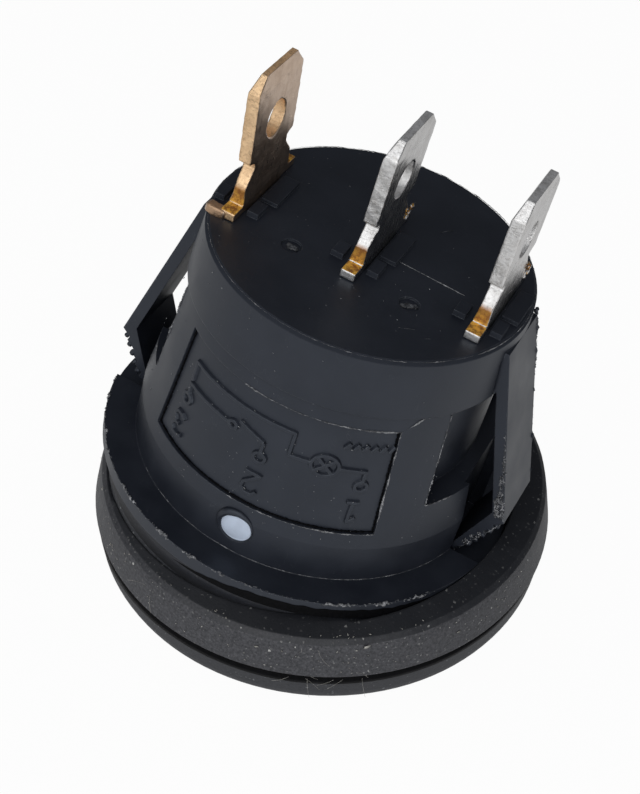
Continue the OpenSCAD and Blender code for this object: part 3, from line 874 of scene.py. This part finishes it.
# a raised bar with a flat top and sloping sides along one stroke
def addStroke(bm, stroke):
    half = marks["stroke"] / 2
    points = []
    for (ax, ay), (bx, by) in zip(stroke, stroke[1:]):
        count = max(1, int(hypot(bx - ax, by - ay) / 0.12))
        points += [(ax + (bx - ax) * i / count, ay + (by - ay) * i / count) for i in range(count)]
    points.append(stroke[-1])
    rows = []
    for i, (x, y) in enumerate(points):
        ax, ay = points[max(i - 1, 0)]
        bx, by = points[min(i + 1, len(points) - 1)]
        length = hypot(bx - ax, by - ay) or 1.0
        nx, ny = -(by - ay) / length, (bx - ax) / length
        jitter = 0.02 * uneven(x * 6, y * 6, 2.0)
        row = []
        for across, lift in ((-1.25, 0.0), (-0.7, 1.0), (0.7, 1.0), (1.25, 0.0)):
            off = half * across + jitter
            spot = onPanel(x + nx * off, panelMiddle + y + ny * off, marks["lift"] * lift - 0.01)
            row.append(bm.verts.new(spot * mm))
        rows.append(row)
    bridge(bm, rows, closed=False)
    bm.faces.new(rows[0])
    bm.faces.new(list(reversed(rows[-1])))


def fillLabelMarks(bm):
    for stroke in labelStrokes():
        addStroke(bm, [(-x * marks["growX"], -y * marks["growY"]) for x, y in stroke])


# pale glints along the raised marks, and dust on the barrel and the rear face
glints = {
    "perMm": 3.6,
    "scatter": 0.12,
    "size": (0.025, 0.065),
    "barrelDust": 150,
    "barrelDustSize": (0.015, 0.035),
    "rearDust": 70,
    "rearDustSize": (0.012, 0.03),
}


def fillLabelGlints(bm):
    rng = random.Random(77)
    scatter = glints["scatter"]
    for stroke in labelStrokes():
        for (ax, ay), (bx, by) in zip(stroke, stroke[1:]):
            count = int(hypot(bx - ax, by - ay) * glints["perMm"])
            for i in range(count + (1 if rng.random() < 0.5 else 0)):
                t = rng.random()
                x = -(ax + (bx - ax) * t) * marks["growX"] + rng.uniform(-scatter, scatter)
                z = panelMiddle - (ay + (by - ay) * t) * marks["growY"] + rng.uniform(-scatter, scatter)
                spot = onPanel(x, z, 0.05)
                addFleck(bm, spot, outward(spot), rng.uniform(*glints["size"]), rng)
    for i in range(glints["barrelDust"]):
        angle = rng.gauss(-20, 45)
        z = rng.choice((rng.uniform(2.5, 13.6), rng.gauss(4.0, 1.2)))
        if 0.5 < z < 13.7:
            spot = onBarrel(angle, z)
            addFleck(bm, spot, outward(spot), rng.uniform(*glints["barrelDustSize"]), rng)
    for i in range(glints["rearDust"]):
        turn, reach = rng.uniform(0, 6.28), rng.uniform(0.5, 8.2)
        spot = Vector((reach * cos(turn), reach * sin(turn), body["depth"]))
        addFleck(bm, spot, Vector((0, 0, 1)), rng.uniform(*glints["rearDustSize"]), rng)


bmeshPiece("labelMarks", fillLabelMarks, housingSkin, smooth=False)
bmeshPiece("labelGlints", fillLabelGlints, glintSkin)
print("marks on the label panel")

# the white pin's end is a soft, slightly crooked dome, in a black rim that is thicker on one side,
# where it stands as painted shade from the hole's edge
pinEnd = {"z": 1.75, "place": 9.8, "radius": 0.9, "rise": 0.16, "turn": 2.2, "sides": 28,
          "rimR": 0.96, "rimOut": 0.06, "rimThin": 0.04, "rimThick": 0.2}


def onPinEnd(a, reach, out):
    return Vector((reach * cos(a), -pinEnd["place"] - out, pinEnd["z"] + reach * sin(a)))


def fillPinRim(bm):
    points, radii = [], []
    for k in range(61):
        a = 2 * pi * k / 60
        wobble = 0.03 * uneven(cos(a) * 2, sin(a) * 2, 1.0)
        shade = 0.5 + 0.5 * cos(a - pinEnd["turn"])
        points.append(onPinEnd(a, pinEnd["rimR"] + wobble, pinEnd["rimOut"]))
        radii.append(pinEnd["rimThin"] + pinEnd["rimThick"] * shade * shade)
    addTube(bm, points, radii, 8)


def fillPinDome(bm):
    rings = []
    for i in range(1, 9):
        part = i / 8
        ring = []
        for k in range(pinEnd["sides"]):
            a = 2 * pi * k / pinEnd["sides"]
            wobble = 1.0 + 0.07 * uneven(cos(a) * 1.3, sin(a) * 1.3, 4.0)
            reach = pinEnd["radius"] * wobble * sin(part * pi / 2)
            crooked = 1.0 + 0.4 * cos(a - pinEnd["turn"]) * part
            lift = pinEnd["rise"] * cos(part * pi / 2) * crooked
            ring.append(bm.verts.new(onPinEnd(a, reach, lift) * mm))
        rings.append(ring)
    bridge(bm, rings)
    bm.faces.new(rings[0])


bmeshPiece("pinRim", fillPinRim, housingSkin)
bmeshPiece("pinDome", fillPinDome, whiteSkin, rides="rocker", slot="rocker_carrier")
print("end of the pivot pin")

# how every blade is worn, from wornFrom up
blade = {
    "wornFrom": 14.75,
    "growOver": 0.5,
    "bendZ": 15.0,
    "tipZ": 21.6,
    "coined": 0.95,  # height over which the tip is pressed thinner
    "keptSide": 0.75,  # where across the thickness the blade stays as it was
    "halfT": 0.4,
    "stemZ": 15.6,
    "stemReach": 1.1,
    "stemThinner": 0.12,
    "edgeY": 1.5,
    "edgeFade": 0.4,
    "battered": 0.02,
    "voxel": 0.06 * mm,
}
# lean in degrees, the shares of its thickness that the blade and its tip keep, and
# how far the tip stands straighter
tabs = {
    "lamp_terminal": {"x": -6.8, "lean": -4.8, "thick": 0.86, "tip": 0.4, "straighter": 0.0},
    "common_terminal": {"x": 0.0, "lean": 0.9, "thick": 0.93, "tip": 0.5, "straighter": 0.0},
    "load_terminal": {"x": 6.8, "lean": -1.5, "thick": 0.93, "tip": 0.5, "straighter": 0.16},
}


# the tab's mesh, remeshed finely enough to be worn
def fineMesh(node):
    rough = bpy.data.objects.new(node + "Rough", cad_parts[node].data.copy())
    bpy.context.collection.objects.link(rough)
    remesh = rough.modifiers.new("remesh", "REMESH")
    remesh.mode = "VOXEL"
    remesh.voxel_size = blade["voxel"]
    graph = bpy.context.evaluated_depsgraph_get()
    mesh = bpy.data.meshes.new_from_object(rough.evaluated_get(graph))
    bpy.data.objects.remove(rough)
    mesh.name = node + "Worn"
    mesh.materials.clear()
    return mesh


def makeWornTab(node, skin):
    tab = tabs[node]
    mesh = fineMesh(node)
    slope = tan(radians(tab["lean"]))
    for vert in mesh.vertices:
        px, py, pz = vert.co / mm
        above = pz - blade["wornFrom"]
        if above <= 0:
            continue
        grown = min(above / blade["growOver"], 1.0)
        bent = max(pz - blade["bendZ"], 0)
        share = min(max(blade["tipZ"] - pz, 0.0) / blade["coined"], 1.0) ** 0.8
        width = tab["tip"] + (tab["thick"] - tab["tip"]) * share
        width = 1.0 + (width - 1.0) * grown
        stem = max(0.0, 1.0 - abs(pz - blade["stemZ"]) / blade["stemReach"])
        fixed = tab["x"] + bent * slope + blade["halfT"] * (2 * blade["keptSide"] - 1)
        px = fixed + (px - fixed) * width * (1.0 - blade["stemThinner"] * stem)
        px += tab["straighter"] * bent / (blade["tipZ"] - blade["bendZ"])
        edge = min(1.0, max(0.0, (abs(py) - blade["edgeY"]) / blade["edgeFade"]))
        here = Vector((px, py, pz))
        dents = noise.noise(here * 2.2) + 0.6 * noise.noise(here * 6.0)
        py += dents * blade["battered"] * edge * grown
        px += noise.noise(here * 2.0 + Vector((5, 0, 0))) * blade["battered"] * 0.6 * grown
        vert.co = Vector((px, py, min(pz, blade["tipZ"] - 0.0005))) * mm  # never past the CAD
    piece = makePiece(node + "Worn", mesh, skin, slot=node)
    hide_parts(node)


makeWornTab("lamp_terminal", brassSkin)
makeWornTab("common_terminal", tinSkin)
makeWornTab("load_terminal", tinSkin)
print("worn tabs")

burrs = {"tabs": ("common_terminal", "load_terminal"), "count": 5, "size": 0.2,
         "corner": (0.32, 3.0, 14.45), "squash": (0.7, 1, 1.2)}


def fillTabBurrs(bm):
    rng = random.Random(7)
    dx, y, z = burrs["corner"]
    for tab in burrs["tabs"]:
        x = tabs[tab]["x"]
        for i in range(burrs["count"]):
            center = Vector((x + dx + rng.uniform(-0.05, 0.15), y + rng.uniform(-0.35, 0.4),
                             z + rng.uniform(0.0, 0.9)))
            size = burrs["size"] * rng.uniform(0.6, 1.1)
            seed = i + x
            offset = Vector((seed, seed * 2.3, seed * 0.7))
            addLump(bm, center, size, burrs["squash"], 0.45, 1.6, offset)


# the lamp tab's near ear, bent over the rim, as a rounded and slightly battered bar
ear = {
    "runs": (((-6.9, -3.2, 14.3), (-7.45, -3.24, 14.32)), ((-7.52, -3.25, 14.32), (-8.0, -3.2, 14.34))),
    "halfWide": 0.3,
    "halfHigh": 0.27,
    "endShare": 0.72,
    "sides": 16,
}


def fillBentEar(bm):
    points = [point for run in ear["runs"] for point in alongLine(*run, 4)]
    rings = []
    for i, point in enumerate(points):
        ahead = heading(points, i)
        wide = ahead.cross(Vector((0, 0, 1))).normalized()
        high = wide.cross(ahead)
        end = ear["endShare"] if i in (0, len(points) - 1) else 1.0
        ring = []
        for k in range(ear["sides"]):
            a = 2 * pi * (k + 0.5) / ear["sides"]
            u, v = (copysign(abs(c) ** 0.35, c) for c in (cos(a), sin(a)))
            dent = 1.0 + 0.12 * noise.noise(point * 2.5 + Vector((u + 2.0, v, 2.0)))
            off = (wide * u * ear["halfWide"] + high * v * ear["halfHigh"]) * end * dent
            ring.append(bm.verts.new((point + off) * mm))
        rings.append(ring)
    bridge(bm, rings)
    capEnds(bm, rings)


bmeshPiece("tabBurrs", fillTabBurrs, tinSkin, slot="common_terminal")
bmeshPiece("bentEar", fillBentEar, earSkin, slot="lamp_terminal")
print("burrs on the tabs")


def makeWoundSpring():
    mesh = copiedMesh("plunger_spring", "woundSpring")
    piece = makePiece("woundSpring", mesh, tinSkin, rides="rocker", slot="plunger_spring", smooth=False)
    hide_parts("plunger_spring")
    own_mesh(piece)


makeWoundSpring()
print("the plunger's spring")

# the crooked rings, on an axis of their own, along which s runs down from the rear face
rings = {"lean": 6.3, "tip": 8.0, "shift": (0.95, 0.2, -0.83), "rearR": 12.45, "frontR": 12.9,
         "height": 2.9}
ringShift = Vector(rings["shift"])
ringTurn = (Matrix.Rotation(radians(-rings["tip"]), 3, "Y")
            @ Matrix.Rotation(radians(rings["lean"]), 3, "X"))


def onRing(angle, radius, s):
    return ringTurn @ polar(angle, radius, s) + ringShift


def onRingWall(angle, s, lift=0.0):
    part = min(-s / rings["height"], 1.0)
    return onRing(angle, rings["rearR"] + (rings["frontR"] - rings["rearR"]) * part + lift, s)


# the rubber ring's rear face has sunk a little, most where it was pulled
sag = {"least": 0.2, "more": 0.27, "angle": 15, "spread": 50, "uneven": 0.05, "bore": 10.3,
       "outerR": 12.0, "innerShare": 0.5}


def makeSaggedRing():
    mesh = copiedMesh("sealing_ring", "saggedRing")
    back = ringTurn.transposed()
    for vert in mesh.vertices:
        local = back @ (vert.co / mm - ringShift)
        reach = hypot(local.x, local.y)
        if reach > sag["bore"] and local.z > -0.4:
            angle = degrees(atan2(local.x, -local.y))
            dip = sag["least"] + sag["more"] * exp(-((angle - sag["angle"]) / sag["spread"]) ** 2)
            dip += sag["uneven"] * noise.noise(local * 0.9)
            dip *= 1.0 if reach > sag["outerR"] else sag["innerShare"]
            vert.co = (ringTurn @ (local - Vector((0, 0, dip))) + ringShift) * mm
    piece = makePiece("saggedRing", mesh, rubberSkin, slot="sealing_ring", smooth=False)
    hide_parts("sealing_ring")


# a thin ring swept through rows of radius and height, with a slight wobble
def addBand(bm, place, rows, count=160):
    bands = []
    for radius, s in rows:
        band = []
        for k in range(count):
            wobble = 0.02 * uneven(k * 0.35, radius, s)
            band.append(bm.verts.new(place(360 * k / count, radius + wobble, s) * mm))
        bands.append(band)
    bridge(bm, bands + bands[:1])


# painted shade in the groove between the rings, which gapes more toward the lamp tab's end
gapShade = {
    "rows": ((12.2, -2.93), (12.55, -2.95), (12.62, -3.14), (12.755, -3.3), (12.755, -3.55),
             (12.6, -3.6), (12.2, -3.3)),
    "top": -2.93,
    "gape": 0.9,
    "gapeAngle": -62,
    "gapeSpread": 34,
}


def onGroove(angle, radius, s):
    far = (angle + 180) % 360 - 180 - gapShade["gapeAngle"]
    grown = 1 + gapShade["gape"] * exp(-(far / gapShade["gapeSpread"]) ** 2)
    return onRing(angle, radius, gapShade["top"] + (s - gapShade["top"]) * grown)


# painted shade: a dark band on the front ring's neck, between the flange and the rubber ring
neckShadeRows = ((10.9, -1.06), (10.98, -1.06), (10.98, -2.6), (10.9, -2.6))

# shade on the flange's side toward the near end, with a torn upper border
flangeShade = {"arc": (-12, 80), "height": 0.62, "torn": 0.1, "lift": 0.008, "steps": 240,
               "fadeIn": 60, "fadeOut": 30}


def fillFlangeShade(bm):
    start, stop = flangeShade["arc"]
    steps = flangeShade["steps"]
    radius = body["flangeR"] + flangeShade["lift"]
    low, high = [], []
    for i in range(steps + 1):
        angle = start + (stop - start) * i / steps
        grown = min(1.0, i / flangeShade["fadeIn"]) * min(1.0, (steps - i) / flangeShade["fadeOut"])
        torn = flangeShade["torn"] * uneven(i * 0.13, 2, 0)
        top = body["flangeFront"] + (flangeShade["height"] + torn) * grown
        low.append(bm.verts.new(polar(angle, radius, body["flangeFront"]) * mm))
        high.append(bm.verts.new(polar(angle, radius, top) * mm))
    bridge(bm, (low, high), closed=False)


lint = {
    "flecks": 90,
    "fleckArc": (-75, 85),
    "fleckS": (-2.75, -0.65),
    "fleckSize": (0.025, 0.055),
    "bigFlecks": ((36, -0.75, 0.17), (10, -1.3, 0.1), (60, -1.6, 0.1), (-30, -0.5, 0.09),
                  (-52, -0.3, 0.1)),  # angle, s and size
    "topFlecks": 26,
    "topArc": (-60, 100),
    "topR": (11.9, 12.3),
    "topSize": (0.03, 0.06),
}


def fillFlecks(bm):
    rng = random.Random(12)
    hub = onRing(0, 0, -1.4)

    def addWallFleck(angle, s, size):
        center = onRingWall(angle, s)
        addFleck(bm, center, (center - hub).normalized(), size, rng)

    for i in range(lint["flecks"]):
        addWallFleck(*(rng.uniform(*lint[key]) for key in ("fleckArc", "fleckS", "fleckSize")))
    for fleck in lint["bigFlecks"]:
        addWallFleck(*fleck)
    for i in range(lint["topFlecks"]):
        center = onRing(rng.uniform(*lint["topArc"]), rng.uniform(*lint["topR"]), -0.35)
        addFleck(bm, center, Vector((0, 0, 1)), rng.uniform(*lint["topSize"]), rng)


# a tuft of hairs caught in the groove on the near side, and a few loose ones
hairs = {"count": 12, "tuft": 8, "tuftArc": (18, 38), "tuftS": -3.0, "looseArc": (-40, 60),
         "looseS": (-2.6, -0.6), "lift": -0.02, "steps": 9, "step": 0.13, "radius": 0.007}


def fillHairs(bm):
    rng = random.Random(31)
    for i in range(hairs["count"]):
        caught = i < hairs["tuft"]
        angle = rng.uniform(*(hairs["tuftArc"] if caught else hairs["looseArc"]))
        s = hairs["tuftS"] if caught else rng.uniform(*hairs["looseS"])
        here = onRingWall(angle, s, hairs["lift"])
        bend = Vector((rng.uniform(-1, 1), rng.uniform(-0.4, 0.2), rng.uniform(-1, 0.6)))
        step = Vector((rng.uniform(-0.6, 0.6), -0.15, rng.uniform(-0.8, 0.3))).normalized()
        points = []
        for k in range(hairs["steps"]):
            points.append(here.copy())
            here = here + step * hairs["step"]
            step = (step + bend * 0.12).normalized()
        addTube(bm, points, [hairs["radius"]] * hairs["steps"], 4)


makeSaggedRing()
bmeshPiece("grooveShade", lambda bm: addBand(bm, onGroove, gapShade["rows"]), shadeSkin,
           slot="sealing_ring")
bmeshPiece("neckShade", lambda bm: addBand(bm, polar, neckShadeRows), neckShadeSkin, slot="front_bezel")
bmeshPiece("flangeShade", fillFlangeShade, shadeSkin)
bmeshPiece("lintFlecks", fillFlecks, lintSkin, slot="sealing_ring")
bmeshPiece("lintHairs", fillHairs, lintSkin, slot="sealing_ring")
print("shade and lint on the rings")

# places and sizes in the studio are in metres
studio = {
    "floor": rgb(0.85, 0.85, 0.85),
    "floorHalf": 3.0,
    "floorDrop": 0.02 * mm,
    "floorGlow": 0.965,
    "mirroredGlow": 0.6,
    "poolX": (-160.0, 60.0),  # the mirrored floor brightens along x, in millimetres
    "poolGlow": (0.35, 1.1),
    "world": rgb(0.108, 0.113, 0.125),
}
lamps = {
    "keyLamp": {"place": (-0.05, -0.42, 0.3), "size": 0.8, "power": 2.4},
    "fillLamp": {"place": (0.36, -0.3, 0.06), "size": 0.24, "power": 0.4},
}
shot = {
    "place": (17.37 * mm, -67.41 * mm, 64.57 * mm),
    "aim": (-0.35 * mm, -0.09 * mm, 3.43 * mm),
    "roll": 17.33,
    "lens": 77.2,
    "clipStart": 0.005,
}


# white where the camera sees it, dimmer in reflections, and a plain pale floor for light
def makeFloor():
    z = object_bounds()[0][2] - studio["floorDrop"]
    half = studio["floorHalf"]
    mesh = bpy.data.meshes.new("floor")
    mesh.from_pydata([(-half, -half, z), (half, -half, z), (half, half, z), (-half, half, z)], [],
                     [(0, 1, 2, 3)])
    floor = bpy.data.objects.new("floor", mesh)
    bpy.context.collection.objects.link(floor)
    material, tree, shader, place = newMaterial("paleFloor")
    feed(shader, {"Base Color": studio["floor"], "Roughness": 0.9})
    path = addNode("LightPath", tree=tree)
    mirrored = calc("MAXIMUM", path["Is Glossy Ray"], path["Is Transmission Ray"])
    pool = remap(splitXyz(place)[0], *studio["poolX"], *studio["poolGlow"])
    mirrored = times(mirrored, times(pool, studio["mirroredGlow"]))
    seen = calc("MAXIMUM", path["Is Camera Ray"], mirrored)
    glow = addNode("Emission", {"Color": rgb(1, 1, 1), "Strength": 1.0}, tree)[0]
    mix = addNode("MixShader", {0: times(seen, studio["floorGlow"]), 1: shader.outputs[0], 2: glow})[0]
    feed(tree.nodes["Material Output"], {"Surface": mix})
    mesh.materials.append(material)


def makeWorld():
    world = bpy.data.worlds.new("studioWorld")
    world.use_nodes = True
    feed(world.node_tree.nodes["Background"], {"Color": studio["world"]})
    bpy.context.scene.world = world


# a round area lamp that faces the object
def makeLamp(name, settings):
    light = bpy.data.lights.new(name, "AREA")
    light.shape = "DISK"
    light.size = settings["size"]
    light.energy = settings["power"]
    lamp = bpy.data.objects.new(name, light)
    lamp.location = settings["place"]
    lamp.rotation_euler = (-Vector(settings["place"])).to_track_quat("-Z", "Y").to_euler()
    bpy.context.collection.objects.link(lamp)


def makeCamera():
    lens = bpy.data.cameras.new("camera")
    lens.lens = shot["lens"]
    lens.sensor_width = 36.0
    lens.clip_start = shot["clipStart"]
    camera = bpy.data.objects.new("camera", lens)
    forward = Vector(shot["aim"]) - Vector(shot["place"])
    turn = (forward.to_track_quat("-Z", "Y").to_matrix()
            @ Matrix.Rotation(radians(shot["roll"]), 3, "Z"))
    camera.matrix_world = Matrix.Translation(shot["place"]) @ turn.to_4x4()
    bpy.context.collection.objects.link(camera)
    bpy.context.scene.camera = camera


makeFloor()
makeWorld()
for name, settings in lamps.items():
    makeLamp(name, settings)
makeCamera()
bpy.context.scene.view_settings.view_transform = "Standard"
print("floor, lamps and camera")
